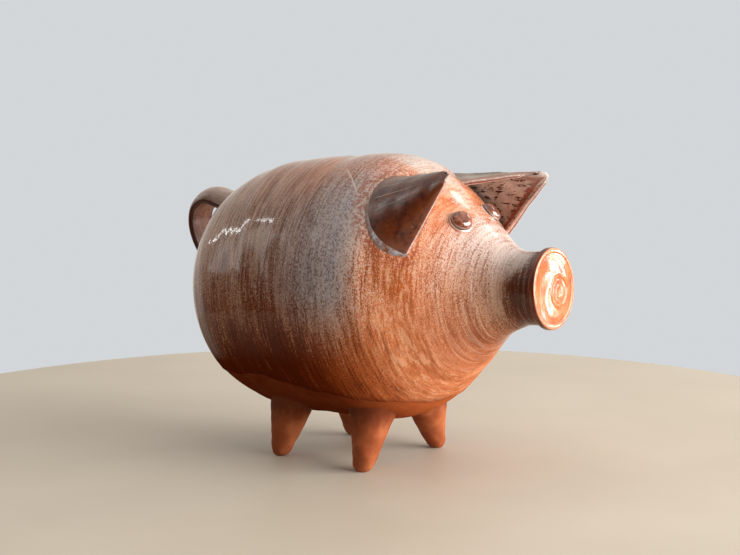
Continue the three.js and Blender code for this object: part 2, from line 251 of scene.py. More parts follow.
def waves(x, angle, terms):
    """A smooth hand-made unevenness: (size, turns per 100 mm, whole turns round, phase) terms."""
    return sum(size * np.sin(2 * np.pi * per_hundred * x / 100 + turns * angle + phase)
               for size, per_hundred, turns, phase in terms)


# ---- body surface

GLAZE_THICKNESS = 0.5
GLAZE_LINE = -71.0
GLAZE_SLOPE = 0.2
GLAZE_LEVEL_FROM = -64.0
GLAZE_WAVES = [(0.7, 1.1, 0, 0.4), (0.45, 2.9, 0, 2.0), (0.2, 6.3, 0, 1.1)]
THROWING = [(0.028, 13.7, 1, 0.3), (0.022, 18.9, 1, 2.1), (0.012, 27.3, 2, 4.0), (0.045, 7.1, 1, 1.0)]
OUT_OF_ROUND = [(0.35, 1.1, 2, 0.6), (0.22, 2.3, 3, 1.9), (0.15, 3.1, 1, 3.3), (0.12, 4.3, 4, 5.0)]


def above_glaze_line(x, angle):
    """Millimetres above the edge of the glaze, which stops short of the belly. The pig was dipped
    nose down, so the edge rises towards the rear, where it levels off."""
    height = body_radius(x) * np.cos(angle)
    level = GLAZE_LINE - GLAZE_SLOPE * np.maximum(x, GLAZE_LEVEL_FROM)
    return height - level - waves(x, 0 * angle, GLAZE_WAVES)


def groove(x, angle):
    """The line where the two thrown sections meet, open only low on the sides."""
    low = smooth(np.abs(angle), 1.5, 2.0) * (1 - smooth(np.abs(angle), 2.5, 2.9))
    width = 1.1 + 0.3 * np.sin(3 * angle)
    return (0.10 + 0.55 * low) * np.exp(-((x - SEAM) / width) ** 2)


def body_lift(x, angle):
    """How far the glazed surface stands off the CAD's plain one: uneven throwing, a glaze with a
    thicker roll at its edge, and the groove at the seam."""
    fade = smooth(np.asarray(x, float), -REAR, -REAR + 30)
    made = waves(x, angle, OUT_OF_ROUND) * (0.3 + 0.7 * fade) + waves(x, angle, THROWING) * fade
    glaze = above_glaze_line(x, angle)
    roll = np.exp(-((glaze - 1.6) / 1.5) ** 2) * 0.2
    return made + GLAZE_THICKNESS * smooth(glaze, -0.4, 1.2) + roll - groove(x, angle)


def body_at(x, angle, depth=0.0):
    return on_body(x, angle, body_lift(x, angle) - depth)


OUTLINE_SAMPLES = 4000


def rear_lines(count):
    """Places on the axis from the rear pole to the widest point, evenly spaced along the outline."""
    turn = np.linspace(0.0005, np.pi / 2, OUTLINE_SAMPLES)
    x = -REAR * np.cos(turn) ** (2 / REAR_SQUARENESS)
    radius = RADIUS * np.sin(turn) ** (2 / REAR_SQUARENESS)
    length = np.append(radius[0], radius[0] + np.cumsum(np.hypot(np.diff(x), np.diff(radius))))
    return np.interp(np.linspace(0, length[-1], count + 1)[1:], length, x)


def front_lines(start, end, count):
    """The same between two places in front of the widest point, the first one included."""
    x = np.linspace(start, end, OUTLINE_SAMPLES)
    length = np.append(0, np.cumsum(np.hypot(np.diff(x), np.diff(body_radius(x)))))
    return np.interp(np.linspace(0, length[-1], count + 1), length, x)


class Opening:
    """A round-ended hole through the wall: half_long from the middle to each end's centre, half_wide
    its radius, at x and angle on the body."""

    def __init__(self, x, angle, half_long, half_wide, lip, margin):
        self.x, self.angle, self.half_long, self.half_wide = x, angle, half_long, half_wide
        self.lip, self.margin = lip, margin
        self.scale = float(body_radius(x))

    def local(self, x, angle):
        turn = np.angle(np.exp(1j * (np.asarray(angle) - self.angle)))
        return np.stack(np.broadcast_arrays(np.asarray(x) - self.x, turn * self.scale), -1)

    def covers(self, x, angle):
        spot = np.abs(self.local(x, angle))
        reach = self.half_wide + self.margin
        return (spot[..., 0] < self.half_long + reach) & (spot[..., 1] < reach)

    def outline(self, spots, grow):
        """Each spot's nearest point on the hole's outline, moved outward by grow."""
        middle = np.clip(spots[:, 0], -self.half_long, self.half_long)
        away = unit(np.stack([spots[:, 0] - middle, spots[:, 1]], -1))
        return np.stack([middle, 0 * middle], -1) + away * (self.half_wide + grow)

    def surface(self, spots, depth):
        return body_at(self.x + spots[:, 0], self.angle + spots[:, 1] / self.scale, depth)

    def turns(self, spots):
        return np.arctan2(spots[:, 1], spots[:, 0])

    def pierce(self, skin, outer, inner):
        """Lines the hole: its glazed lip, its wall, and the join to the inner surface."""
        ids, spots = outer
        near = self.outline(spots, self.lip)
        rings = [self.surface(near + (spots - near) * t, 0.0) for t in (0.72, 0.5, 0.32, 0.18, 0.08, 0.0)]
        for turn in np.radians([25, 50, 70, 90]):
            edge = self.outline(spots, self.lip * (1 - math.sin(turn)))
            rings.append(self.surface(edge, self.lip * (1 - math.cos(turn))))
        rings += [self.surface(self.outline(spots, 0.0), depth) for depth in (2.6, 4.2, WALL - 0.8)]
        last = self.outline(spots, 0.7)
        rings.append(self.surface(last, WALL))
        index = skin.rows(rings)
        skin.strip(ids, index[0])
        inner_ids, inner_spots = inner
        skin.zip(index[-1], inner_ids, self.turns(last), self.turns(inner_spots))


def grid(skin, xs, angles, depth, openings):
    """Adds a surface over xs and angles, leaving the cells over openings out. Returns the indices of
    its first and last rings, and for each opening the loop of points round its missing cells."""
    index = skin.add(body_at(xs[:, None], angles[None, :], depth)).reshape(len(xs), len(angles))
    mid_x = (xs[1:] + xs[:-1]) / 2
    mid_angle = angles + np.pi / len(angles)
    gaps = [opening.covers(mid_x[:, None], mid_angle[None, :]) for opening in openings]
    covered = sum(gaps, np.zeros((len(mid_x), len(angles)), bool))
    for i, j in np.argwhere(~covered):
        k = (j + 1) % len(angles)
        skin.faces.append([index[i, j], index[i + 1, j], index[i + 1, k], index[i, k]])
    return index[0], index[-1], [rim_loop(index, gap, xs, angles, o) for gap, o in zip(gaps, openings)]


def rim_loop(index, gap, xs, angles, opening):
    """The grid's points round an opening's missing cells, in order, with their local places."""
    rows = np.nonzero(gap.any(1))[0]
    columns = np.nonzero(gap.any(0))[0]
    if columns[-1] - columns[0] > len(angles) / 2:
        split = np.nonzero(np.diff(columns) > 1)[0][0] + 1
        columns = np.concatenate([columns[split:], columns[:split]])
    top, bottom = rows[0], rows[-1] + 1
    sides = [*columns, (columns[-1] + 1) % len(angles)]
    loop = [(top, c) for c in sides]
    loop += [(r, sides[-1]) for r in range(top + 1, bottom)]
    loop += [(bottom, c) for c in reversed(sides)]
    loop += [(r, sides[0]) for r in range(bottom - 1, top, -1)]
    ids = np.array([index[r, c] for r, c in loop])
    spots = np.array([opening.local(xs[r], angles[c]) for r, c in loop])
    return ids, spots


# ---- ears

EAR_ROOT_AT = 51.5
EAR_ROOT_DEPTH = 24.0
EAR_ROOT_SLANT = 5.5
EAR_ROOT_ANGLE = math.radians(43)
EAR_ROOT_SPREAD = math.radians(24)
EAR_THICKNESS = 5.0
EAR_TIP_THICKNESS = 2.6
EAR_TIP_HALF_WIDTH = 2.0
EAR_BOW = 0.6
EAR_BURIED = 0.12
EAR_BLUNT_FROM = 0.90
EAR_LENGTH = 60.0
# Root to tip again, as the glaze's distance to the ear's edge counts it.
EAR_EDGE_RUN = 55.0
# Steps over an ear's last tenth, where it closes to its blunt tip.
EAR_CLOSING = np.array([0.2, 0.38, 0.54, 0.68, 0.8, 0.89, 0.95, 0.985])
EAR_WAVES = [(0.15, 4.3, 3, 0.4), (0.10, 7.7, 5, 2.2)]
# How full the coil behind an ear is, from its lower end round the back to its upper end.
COIL_TURNS = [-1.66, -1.2, 0.0, 0.8, 1.3, 1.66]
COIL_FULLNESS = [0.22, 0.30, 0.52, 0.92, 1.0, 0.6]


def ear_root(side, turn):
    x = EAR_ROOT_AT - EAR_ROOT_DEPTH * np.cos(turn) + EAR_ROOT_SLANT * np.sin(turn)
    return on_body(x, side * (EAR_ROOT_ANGLE + EAR_ROOT_SPREAD * np.sin(turn)))


def ear_tip(side):
    points = to_trunk(cad_points("right_ear" if side < 0 else "left_ear"))
    return points[points[:, 0] > points[:, 0].max() - 2.0].mean(0)


class Ear:
    """A slab bent to a half-cone: straight lines from half an ellipse on the body to a blunt tip.
    turn runs round the back from one edge to the other, and reach from the root to the tip."""

    STEP = 0.02

    def __init__(self, side):
        self.side = side
        self.tip = ear_tip(side)
        ends = ear_root(side, np.array([-math.pi / 2, math.pi / 2]))
        self.across = unit(ends[1] - ends[0])
        self.ridge = unit(np.cross(self.across, unit(self.tip - ends.mean(0)))) * side

    def middle(self, turn, reach):
        """The slab's middle surface."""
        turn, reach = np.broadcast_arrays(np.asarray(turn, float), np.asarray(reach, float))
        end = self.tip + self.across * (EAR_TIP_HALF_WIDTH * np.sin(turn))[..., None]
        end = end + self.ridge * (EAR_TIP_HALF_WIDTH * np.cos(turn))[..., None]
        root = ear_root(self.side, turn)
        round_root = ear_root(self.side, turn + self.STEP) - ear_root(self.side, turn - self.STEP)
        root = root - unit(np.cross(end - root, round_root)) * self.side * EAR_THICKNESS / 2
        bow = EAR_BOW * np.sin(np.pi * np.clip(reach, 0, 1)) * np.cos(turn)
        return root + (end - root) * reach[..., None] + self.ridge * bow[..., None]

    def toward_tip(self, turn, reach):
        return self.middle(turn, reach + self.STEP) - self.middle(turn, reach - self.STEP)

    def inward(self, turn, reach):
        turn, reach = np.broadcast_arrays(np.asarray(turn, float), np.asarray(reach, float))
        across = self.middle(turn + self.STEP, reach) - self.middle(turn - self.STEP, reach)
        return unit(np.cross(self.toward_tip(turn, reach), across)) * -self.side

    def thickness(self, reach):
        return EAR_THICKNESS + (EAR_TIP_THICKNESS - EAR_THICKNESS) * np.clip(reach, 0, 1) ** 0.8


def make_ear(name, side, material):
    ear = Ear(side)
    turns = np.radians(np.linspace(-90, 90, 41))
    reaches = np.linspace(-EAR_BURIED, EAR_BLUNT_FROM, 30)
    closing = np.append(np.zeros(len(reaches)), EAR_CLOSING)
    reaches = np.append(reaches, EAR_BLUNT_FROM + (1 - EAR_BLUNT_FROM) * EAR_CLOSING)
    power, bend = (0.75, 1.3) if side < 0 else (0.5, 2.0)
    edge_angles = np.radians([22, 45, 68, 90, 112, 135, 158])
    across = np.linspace(0.125, 0.875, len(edge_angles))
    still = np.full(len(edge_angles), math.pi / 2)
    inside = np.concatenate([np.zeros(len(turns)), across, np.ones(len(turns)), across[::-1]])
    ring_turns = np.concatenate([turns, still, turns[::-1], -still])
    rings = []
    edges = []
    for reach, close in zip(reaches, closing):
        half = ear.thickness(reach) / 2
        middle = ear.middle(turns, reach)
        inward = ear.inward(turns, reach)
        core = middle.mean(0)
        wave = waves(reach * EAR_LENGTH, turns, [(0.22, 2.1, 1, 1.0 + side), *EAR_WAVES])
        middle = middle + inward * (wave * (1 - close))[:, None]
        ends = []
        for k, edge in ((-1, edge_angles), (0, edge_angles[::-1])):
            aside = unit(np.cross(ear.toward_tip(turns[k], reach), inward[k]))
            aside *= np.sign(aside @ (middle[k] - core))
            round_edge = np.sin(edge)[:, None] * aside * 0.9 - np.cos(edge)[:, None] * inward[k]
            ends.append(middle[k] + half * round_edge)
        ring = np.vstack([middle - inward * half, ends[0], (middle + inward * half)[::-1], ends[1]])
        core = ring.mean(0)
        ring = core + (ring - core) * (1 - close**bend) ** power
        rings.append(ring)
        sides = ear.middle(turns[[0, -1]], reach)
        from_side = np.linalg.norm(ring[:, None] - sides, axis=2).min(1)
        edges.append(np.minimum(from_side, (1 - reach) * EAR_EDGE_RUN + 1))
    skin = Skin()
    skin.tube(rings, last=rings[-1].mean(0) + unit(ear.tip - rings[0].mean(0)) * 0.05)
    skin.build(name, "dark_glaze", material, attributes={
        "edge": np.concatenate([*edges, [1.0, 0.0]]),
        "reach": np.append(np.repeat(reaches, len(inside)), [1.0, 0.0]),
        "inside": np.append(np.tile(inside, len(reaches)), [0.5, 0.0]),
        "turn": np.append(np.tile(ring_turns, len(reaches)), [0.0, 0.0]),
    })


def make_ear_coil(name, side, material):
    """The coil smoothed into the corner behind the ear: a low fillet between slab and body."""
    ear = Ear(side)
    rings = []
    for turn in np.radians(np.linspace(-95, 95, 73)):
        root = ear_root(side, turn)
        outer = ear.middle(turn, 0.0) - ear.inward(turn, 0.0) * EAR_THICKNESS / 2
        along, out = body_normal(root[0])
        normal = unit(unit(root * [0, 1, 1]) * float(out) + np.array([float(along), 0, 0]))
        round_root = ear_root(side, turn + Ear.STEP) - ear_root(side, turn - Ear.STEP)
        away = unit(np.cross(round_root, normal)) * side
        away = away * np.sign(away @ -(ear.tip - root))
        full = float(np.interp(turn, COIL_TURNS, COIL_FULLNESS))
        foot = root + away * (2.9 + 0.4 * math.sin(7 * turn)) * full
        climb = unit(ear.middle(turn, 0.1) - ear.middle(turn, 0.0))
        top = outer + climb * (2.4 + 0.3 * math.sin(5 * turn + 1)) * full
        ring = [root - normal * 1.5 - away * 2, top - away * 0.8 - normal * 0.2, top]
        for t in (0.25, 0.5, 0.72, 0.9):
            bulge = math.sin(math.pi * t) * 0.45 * full
            ring.append(top * (1 - t) + foot * t + (normal + away) * bulge)
        rings.append(np.array([*ring, foot, foot - normal * 1.5]))
    skin = Skin()
    skin.tube(rings)
    skin.build(name, "pale_glaze", material)


# ---- body shells

OUTER_SIDES = 216
INNER_SIDES = 96
JOINT_CLEARANCE = 0.02
NECK_OVERLAP = 0.3


def make_barrel(material):
    skin = Skin()
    slot = Opening(SLOT_AT, 0.0, SLOT_HALF, SLOT_WIDE, lip=1.4, margin=6.0)
    hole = Opening(STOPPER_AT, math.pi, 0.0, STOPPER_HOLE, lip=0.8, margin=5.5)
    openings = [slot, hole]
    pole = on_body(-REAR, 0.0) * [1, 0, 0]
    end = SEAM - JOINT_CLEARANCE
    xs = np.append(rear_lines(148), front_lines(0.0, end, 30)[1:])
    first, last, rims = grid(skin, xs, around(OUTER_SIDES), 0.0, openings)
    skin.cap(first, pole - [GLAZE_THICKNESS, 0, 0])
    xs = np.append(rear_lines(34), front_lines(0.0, end, 8)[1:])
    inner_first, inner_last, inner_rims = grid(skin, xs, around(INNER_SIDES), WALL, openings)
    skin.cap(inner_first, pole + [WALL, 0, 0])
    for opening, rim, inner_rim in zip(openings, rims, inner_rims):
        opening.pierce(skin, rim, inner_rim)
    skin.zip(last, inner_last, around(OUTER_SIDES), around(INNER_SIDES))
    build_shell(skin, "barrel_shell", material)


def make_head(material):
    skin = Skin()
    start = SEAM + JOINT_CLEARANCE
    end = NECK_END + NECK_OVERLAP
    xs = np.append(front_lines(start, FRONT, 78), np.linspace(FRONT, end, 9)[1:])
    outer = grid(skin, xs, around(OUTER_SIDES), 0.0, [])
    inner = grid(skin, np.append(front_lines(start, FRONT, 24), end), around(INNER_SIDES), WALL, [])
    for k in (0, 1):
        skin.zip(outer[k], inner[k], around(OUTER_SIDES), around(INNER_SIDES))
    build_shell(skin, "head_shell", material)


def ear_distance(points):
    """Millimetres from each point to the nearest ear's root."""
    turns = np.linspace(-math.pi / 2, math.pi / 2, 60)
    roots = [ear_root(side, turns) for side in (-1, 1)]
    return np.min([np.linalg.norm(points[:, None] - root, axis=2).min(1) for root in roots], axis=0)


def build_shell(skin, name, material):
    points = np.array(skin.points)
    angle = np.arctan2(points[:, 1], points[:, 2])
    line = above_glaze_line(np.clip(points[:, 0], -REAR + 0.01, None), angle)
    skin.build(name, "rust_glaze", material, sharp=40,
               attributes={"glaze_line": line, "ear_join": ear_distance(points)})


# ---- snout disc

SNOUT_THICKNESS = 6.3
SNOUT_WAVES = [(0.12, 1.0, 2, 0.5), (0.07, 2.0, 3, 1.4)]
# Inside this radius the disc is evenly round.
SNOUT_EVEN_RADIUS = 14
# The seal sits towards the pig's left and a little low.
SEAL_OFF = 5.6
SEAL_DROP = 2.0
SEAL_RADIUS = 10.6
SPIRAL_PITCH = 3.8


def seal_relief(y, z):
    """The pressed seal on the snout: a raised ring round a plain spiral, in a shallow sunk field."""
    away = np.hypot(y - SEAL_OFF, z + SEAL_DROP)
    turn = np.arctan2(z + SEAL_DROP, y - SEAL_OFF)
    ring = 0.36 * np.exp(-((away - SEAL_RADIUS) / 0.75) ** 2)
    field = -0.2 * smooth(SEAL_RADIUS - away, 0.2, 1.6)
    coil = (away / SPIRAL_PITCH - turn / (2 * np.pi)) % 1.0
    spiral = 0.3 * np.exp(-((coil - 0.5) / 0.14) ** 2) * smooth(8.6 - away, 0, 1.2) * smooth(away, 0.6, 2.2)
    return ring + field + spiral


def make_snout(material):
    back = FACE - SNOUT_THICKNESS
    wide = SNOUT_RADIUS
    rim = curve_points([
        (NECK - 3, back - 0.2), (NECK + 0.1, back - 0.1), (NECK + 0.5, back), (NECK + 1.2, back + 0.25),
        (wide - 1.3, back + 0.9), (wide - 0.4, back + 1.6), (wide, back + 2.6), (wide - 0.05, back + 3.9),
        (wide - 0.15, FACE - 1.2), (wide - 0.45, FACE - 0.5), (wide - 1.1, FACE - 0.12), (wide - 2.0, FACE),
        (wide - 3.2, FACE - 0.10),
    ], 46)
    dished = [(radius, FACE + 0.3 - 0.7 * (radius / 24) ** 2) for radius in np.linspace(wide - 3.6, 0.4, 58)]
    angles = around(180)
    rings = []
    for radius, x in [*rim, *dished]:
        uneven = waves(radius * 4, angles, SNOUT_WAVES)
        reach = radius + uneven * (radius > SNOUT_EVEN_RADIUS)
        y = reach * np.sin(angles)
        z = reach * np.cos(angles)
        relief = seal_relief(y, z) * smooth(wide - 4 - radius, 0, 3)
        rings.append(np.stack([x + 0.6 * uneven + relief, y, z], -1))
    skin = Skin()
    skin.tube(rings, first=[back - 0.2, 0, 0])
    skin.build("snout_disc", "rust_glaze", material)


# ---- eyes

EYE_PELLET = 7.7
EYE_RIM = 8.5
EYE_HEIGHT = 6.0
EYE_BURIED = 1.6
EYE_WAVES = [(0.022, 1.0, 2, 0.7), (0.016, 2.0, 3, 2.6)]
# Distance from the eye's middle and height over the body.
EYE_OUTLINE = [
    (EYE_RIM + 0.8, -1.2), (EYE_RIM + 0.5, 0.0), (EYE_RIM + 0.1, 0.5), (EYE_RIM - 0.35, 0.75),
    (EYE_PELLET + 0.2, 0.75), (EYE_PELLET + 0.05, 1.1), (EYE_PELLET, 2.0), (EYE_PELLET - 0.5, 3.4),
    (EYE_PELLET - 1.6, 4.7), (4.2, 5.6), (2.2, 5.9), (0.6, EYE_HEIGHT),
]


def make_eye(name, material):
    middle = to_trunk(cad_points(name)).mean(0)
    angle = math.atan2(middle[1], middle[2])
    spots = front_lines(SEAM, FRONT, 200)
    x = spots[np.argmin(np.linalg.norm(on_body(spots, angle) - middle, axis=1))]
    root = on_body(x, angle)
    along, out = map(float, body_normal(x))
    normal = np.array([along, out * math.sin(angle), out * math.cos(angle)])
    side = unit(np.cross(normal, [0, 0, 1]))
    above = np.cross(side, normal)
    angles = around(64)
    rings = []
    for radius, rise in curve_points(EYE_OUTLINE, 34):
        wide = (radius * (1 + waves(rise * 9, angles, EYE_WAVES)))[:, None]
        where = root + wide * np.cos(angles)[:, None] * side + wide * np.sin(angles)[:, None] * above
        sink = np.hypot(where[:, 1], where[:, 2]) - body_radius(where[:, 0])
        hug = 1 - smooth(rise, 0.8, 4.0)
        rings.append(where + normal * (rise - sink * out * hug)[:, None])
    skin = Skin()
    skin.tube(rings, first=root - normal * EYE_BURIED, last=root + normal * (EYE_HEIGHT + 0.02))
    away = np.array(skin.points) - root
    from_middle = np.hypot(away @ side, away @ above)
    skin.build(name, "dark_glaze", material, attributes={"from_middle": from_middle, "rise": away @ normal})


# ---- tail

# Places along the trunk and above its axis that the strap's middle passes through, root first.
TAIL_ROUTE = [
    (-128, 49), (-141, 56), (-156, 61), (-171, 65), (-182.5, 60), (-186.5, 49), (-183.5, 35), (-174, 20),
    (-160, 8), (-144, 1), (-137, -1),
]
TAIL_HALF_WIDTH = 12.5
TAIL_NARROWS_BY = 4.2
TAIL_DOME = 10.6
TAIL_END_DOME = 1.8
TAIL_HALF_EDGE = 1.9


def make_tail(material):
    """A pulled strap, domed outside and nearly flat inside, thick at its root and thin in its loop."""
    path = curve_points(TAIL_ROUTE, 96)
    tangent = unit(np.gradient(path, axis=0))
    outward = np.stack([tangent[:, 1], -tangent[:, 0]], -1)
    over = np.radians(np.linspace(0, 180, 25))
    under = np.radians(np.linspace(180, 0, 17))[1:-1]
    rings = []
    edges = []
    for spot, out, t in zip(path, outward, np.linspace(0, 1, len(path))):
        half_wide = TAIL_HALF_WIDTH - TAIL_NARROWS_BY * t**3 + 0.35 * math.sin(11 * t)
        dome = TAIL_DOME + (TAIL_END_DOME - TAIL_DOME) * smooth(t, 0.25, 0.48) + 0.3 * math.sin(17 * t + 1)
        edge = TAIL_HALF_EDGE - 0.4 * t**2
        outside = edge * (0.45 + 0.55 * np.minimum(1, np.sin(over) * 5)) + dome * np.sin(over) ** 0.9
        inside = -edge * (0.55 + 0.45 * np.minimum(1, np.sin(under) * 4)) + 0.5 * np.sin(under)
        y = -half_wide * np.append(np.cos(over), 0.985 * np.cos(under))
        rise = np.append(outside, inside)
        rings.append(np.stack([spot[0] + out[0] * rise, y, spot[1] + out[1] * rise], -1))
        edges.append(np.maximum(rise - 1.2, half_wide - np.abs(y) - 1.4))
    skin = Skin()
    skin.tube(rings)
    inner_side = np.append(np.zeros(len(over)), np.ones(len(under)))
    skin.build("tail", "rust_glaze", material, attributes={
        "edge": np.concatenate([*edges, [0, 0]]),
        "inside": np.append(np.tile(inner_side, len(rings)), [0, 0]),
    })


# ---- legs and stopper

# Height above the floor and radius.
LEG_LEVELS = [
    (0.0, 2.2), (0.06, 3.3), (0.45, 4.5), (1.5, 5.8), (3.2, 7.0), (6, 8.1), (10, 9.2), (16, 10.7),
    (24, 12.6), (31, 14.4), (37, 15.8), (42, 17.2), (46, 18.8), (50, 20.5), (54, 22.0),
]
LEG_RING_HEIGHT = 33


def circle(middle, radius, angles, height):
    x = middle[0] + radius * np.cos(angles)
    y = middle[1] + radius * np.sin(angles)
    return np.stack([x, y, 0 * angles + height], -1)


def leg_axis(node):
    """The foot, and how far the leg moves sideways for each millimetre up."""
    points = cad_points(node) / MM
    foot = points[points[:, 2] < 0.05].mean(0)
    ring = points[np.abs(points[:, 2] - LEG_RING_HEIGHT) < 0.2]
    return foot[:2], (ring.mean(0) - foot)[:2] / LEG_RING_HEIGHT


def held_in_wall(points):
    """Leg points that would stand inside the chamber, let down to the middle of the belly's wall."""
    x, y, z = np.moveaxis(points, -1, 0)
    reach = body_radius(x) - WALL / 2
    return np.stack([x, y, np.minimum(z, -np.sqrt(np.maximum(reach**2 - y**2, 0)))], -1)


def make_leg(name, material, seed):
    foot, lean = leg_axis(name)
    angles = around(72)
    dents = [
        (0.28, 2.2, 2, seed), (0.20, 3.7, 3, 2.3 * seed), (0.13, 6.1, 5, 1.7 * seed),
        (0.10, 11.0, 1, seed + 1),
    ]
    rings = []
    for height, radius in curve_points(LEG_LEVELS, 64):
        uneven = waves(height, angles, dents) * smooth(height, 0, 4)
        ring = circle(foot + lean * height, radius + uneven, angles, height)
        rings.append(held_in_wall(to_trunk(ring * MM)))
    skin = Skin()
    skin.tube(rings, first=to_trunk(np.array([*foot, 0.0]) * MM), last=held_in_wall(rings[-1].mean(0)))
    skin.build(name, "bare_clay", material)


CORK_PITS = [(1, 31, 7, 0.2), (1, 47, 11, 1.3), (1, 23, 17, 3.0)]
CORK_PIT_DEPTH = 0.16
CORK_PIT_LEVEL = 1.5


def make_stopper(material):
    low, high = trunk_span("belly_stopper")
    middle = ((low[0] + high[0]) / 2, 0)
    bottom, top = low[2], high[2]
    outline = [
        (0.5, bottom + 0.1), (6, bottom + 0.05), (11, bottom), (12.6, bottom + 0.25), (13.3, bottom + 0.9),
        (13.5, bottom + 2), (13.2, bottom + 7), (12.7, bottom + 12), (12.4, top - 2), (12.0, top - 0.8),
        (11.2, top - 0.1), (6, top), (0.5, top),
    ]
    angles = around(72)
    rings = []
    for radius, z in curve_points(outline, 80):
        pits = CORK_PIT_DEPTH * np.clip(waves(z * 3, angles, CORK_PITS) - CORK_PIT_LEVEL, 0, 1)
        rings.append(circle(middle, radius - pits * smooth(radius, 8, 13), angles, z))
    skin = Skin()
    skin.tube(rings, first=[*middle, bottom + 0.1], last=[*middle, top])
    skin.build("belly_stopper", "cork", material, body="stopper")


# ---- materials
# A colour is a tuple of three, given as it is seen on screen (sRGB, 0 to 255).


def linear(shade):
    parts = [part / 255 for part in shade]
    return (*[part / 12.92 if part <= 0.04045 else ((part + 0.055) / 1.055) ** 2.4 for part in parts], 1.0)


class Value:
    """A node's output. Arithmetic on it adds nodes to its graph."""

    def __init__(self, graph, socket):
        self.graph = graph
        self.socket = socket

    def __add__(self, other):
        return self.graph.math("ADD", self, other)

    def __sub__(self, other):
        return self.graph.math("SUBTRACT", self, other)

    def __mul__(self, other):
        return self.graph.math("MULTIPLY", self, other)

    def __truediv__(self, other):
        return self.graph.math("DIVIDE", self, other)

    def __abs__(self):
        return self.graph.math("ABSOLUTE", self)

    def step(self, low, high, to_low=0.0, to_high=1.0):
        """to_low on low's side and to_high on high's side, with a smooth step between low and high."""
        return self.graph.out(self.graph.node(
            "ShaderNodeMapRange", {"interpolation_type": "SMOOTHSTEP"}, Value=self,
            From_Min=low, From_Max=high, To_Min=to_low, To_Max=to_high))

    def ramp(self, stops):
        """The colours or numbers of the stops, as this value runs from 0 to 1."""
        node = self.graph.node("ShaderNodeValToRGB")
        elements = node.color_ramp.elements
        elements.remove(elements[-1])
        for k, (at, stop) in enumerate(stops):
            element = elements[0] if k == 0 else elements.new(at)
            element.position = at
            element.color = linear(stop) if isinstance(stop, tuple) else (stop, stop, stop, 1)
        self.graph.put(node.inputs[0], self)
        return self.graph.out(node)

    def profile(self, low, high, stops):
        """The same with stops between low and high in place of 0 and 1."""
        part = self.graph.math("DIVIDE", self - low, high - low, clamp=True)
        return part.ramp([((at - low) / (high - low), stop) for at, stop in stops])


class Graph:
    """A short way to write the nodes of a material or a world."""

    def __init__(self, owner):
        owner.use_nodes = True
        self.owner = owner
        self.tree = owner.node_tree

    def put(self, socket, value):
        if isinstance(value, Value):
            self.tree.links.new(value.socket, socket)
        else:
            socket.default_value = linear(value) if isinstance(value, tuple) else value

    def node(self, kind, settings=None, **inputs):
        node = self.tree.nodes.new(kind)
        for key, value in (settings or {}).items():
            setattr(node, key, value)
        for key, value in inputs.items():
            self.put(node.inputs[key.replace("_", " ")], value)
        return node

    def out(self, node, key=0):
        return Value(self, node.outputs[key])

    def math(self, operation, a, b=0.0, clamp=False):
        node = self.node("ShaderNodeMath", {"operation": operation, "use_clamp": clamp})
        self.put(node.inputs[0], a)
        self.put(node.inputs[1], b)
        return self.out(node)

    def length(self, a, b):
        return self.math("SQRT", a * a + b * b)

    def mix(self, factor, a, b, mode="MIX"):
        node = self.node("ShaderNodeMix", {"data_type": "RGBA", "blend_type": mode})
        for key, value in ((0, factor), (6, a), (7, b)):
            self.put(node.inputs[key], value)
        return self.out(node, 2)

    def tint(self, colour, shade, strength, *masks):
        """The colour with a shade laid over it where all the masks are 1."""
        factor = masks[0]
        for mask in masks[1:]:
            factor = factor * mask
        return self.mix(factor * strength, colour, shade)

    def attribute(self, name):
        return self.out(self.node("ShaderNodeAttribute", {"attribute_name": name}), "Fac")

    @cached_property
    def where(self):
        """Trunk coordinates in millimetres."""
        spot = self.out(self.node("ShaderNodeTexCoord"), "Object")
        return self.out(self.node(
            "ShaderNodeMapping", {"vector_type": "TEXTURE"}, Vector=spot, Location=CENTRE,
            Rotation=[0, -TILT, 0], Scale=[MM, MM, MM]))

    def axes(self):
        node = self.node("ShaderNodeSeparateXYZ", Vector=self.where)
        return self.out(node, 0), self.out(node, 1), self.out(node, 2)

    def noise(self, size, detail=2.0, rough=0.6, shift=0.0, distortion=0.0, where=None):
        """Noise whose features are about size millimetres: one number, or (along, y, z)."""
        sizes = size if isinstance(size, tuple) else (size, size, size)
        spot = self.out(self.node(
            "ShaderNodeMapping", Vector=where or self.where, Scale=[1 / part for part in sizes],
            Location=[shift, shift * 0.7, shift * 1.3]))
        return self.out(self.node(
            "ShaderNodeTexNoise", Vector=spot, Scale=1.0, Detail=detail, Roughness=rough,
            Distortion=distortion))

    def finish(self, colour, rough, height=None, distance=0.0, strength=1.0, ior=1.5, specular=0.5):
        """Sets the shader. height is raised by distance metres, as a bump, to the given strength."""
        shader = self.tree.nodes["Principled BSDF"].inputs
        self.put(shader["Base Color"], colour)
        self.put(shader["Roughness"], rough)
        self.put(shader["IOR"], ior)
        self.put(shader["Specular IOR Level"], specular)
        if height is not None:
            bump = self.node("ShaderNodeBump", Height=height, Distance=distance, Strength=strength)
            self.put(shader["Normal"], self.out(bump))
        return self.owner


def new_graph(name):
    return Graph(bpy.data.materials.new(name))


def along(x, stops):
    """A colour or number that changes along the trunk: stops of (millimetres on the axis, value)."""
    return x.profile(-REAR, FACE, stops)


def up(z, stops):
    """The same by height above the trunk's axis."""
    return z.profile(-RADIUS, RADIUS, stops)


GLAZE_IOR = 1.52
# How far right of the axis the short pale scratch crosses the widest section, and its slant.
SCRATCH_RIGHT = 44.6
SCRATCH_SLANT = 1.16


